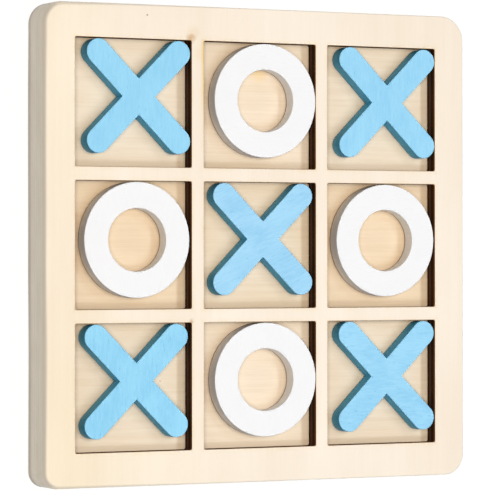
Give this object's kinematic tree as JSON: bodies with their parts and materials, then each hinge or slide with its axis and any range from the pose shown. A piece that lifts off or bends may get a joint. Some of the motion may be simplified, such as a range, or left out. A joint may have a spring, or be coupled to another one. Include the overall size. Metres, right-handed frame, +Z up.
{
  "type": "tic tac toe set",
  "caption": "Square wooden tic tac toe board with a grid of recessed square cells, holding loose flat blue crosses and white rings that lift straight out.",
  "frame": {"origin": "centre of the board's flat underside", "axes": "+Z up out of the cells, +X towards the board's right side and +Y towards its top side, as a player sees it"},
  "size_m": [0.14, 0.14, 0.012],
  "materials": {
    "grid_wood": "bare pale basswood plywood, sanded smooth, laser-charred dark on the cell walls",
    "base_wood": "bare basswood plywood, sanded smooth, a little darker than the grid panel",
    "blue_paint": "thin matt light blue paint over wood, grain faintly showing, darker on the laser-cut sides",
    "white_paint": "thin matt white paint over wood, laser-cut sides grey-brown with a charred line at the bottom"
  },
  "bodies": {
    "board": {"base_panel": "base_wood", "grid_panel": "grid_wood"},
    "cross_top_left": {"cross_top_left": "blue_paint"},
    "cross_top_right": {"cross_top_right": "blue_paint"},
    "cross_centre": {"cross_centre": "blue_paint"},
    "cross_bottom_left": {"cross_bottom_left": "blue_paint"},
    "cross_bottom_right": {"cross_bottom_right": "blue_paint"},
    "ring_top_centre": {"ring_top_centre": "white_paint"},
    "ring_middle_left": {"ring_middle_left": "white_paint"},
    "ring_middle_right": {"ring_middle_right": "white_paint"},
    "ring_bottom_centre": {"ring_bottom_centre": "white_paint"}
  },
  "joints": [
    {"name": "lift_cross_top_left", "type": "slide", "parent": "board", "child": "cross_top_left", "axis": [0, 0, 1], "range_m": [0, 0.04]},
    {"name": "lift_cross_top_right", "type": "slide", "parent": "board", "child": "cross_top_right", "axis": [0, 0, 1], "range_m": [0, 0.04]},
    {"name": "lift_cross_centre", "type": "slide", "parent": "board", "child": "cross_centre", "axis": [0, 0, 1], "range_m": [0, 0.04]},
    {"name": "lift_cross_bottom_left", "type": "slide", "parent": "board", "child": "cross_bottom_left", "axis": [0, 0, 1], "range_m": [0, 0.04]},
    {"name": "lift_cross_bottom_right", "type": "slide", "parent": "board", "child": "cross_bottom_right", "axis": [0, 0, 1], "range_m": [0, 0.04]},
    {"name": "lift_ring_top_centre", "type": "slide", "parent": "board", "child": "ring_top_centre", "axis": [0, 0, 1], "range_m": [0, 0.04]},
    {"name": "lift_ring_middle_left", "type": "slide", "parent": "board", "child": "ring_middle_left", "axis": [0, 0, 1], "range_m": [0, 0.04]},
    {"name": "lift_ring_middle_right", "type": "slide", "parent": "board", "child": "ring_middle_right", "axis": [0, 0, 1], "range_m": [0, 0.04]},
    {"name": "lift_ring_bottom_centre", "type": "slide", "parent": "board", "child": "ring_bottom_centre", "axis": [0, 0, 1], "range_m": [0, 0.04]}
  ]
}
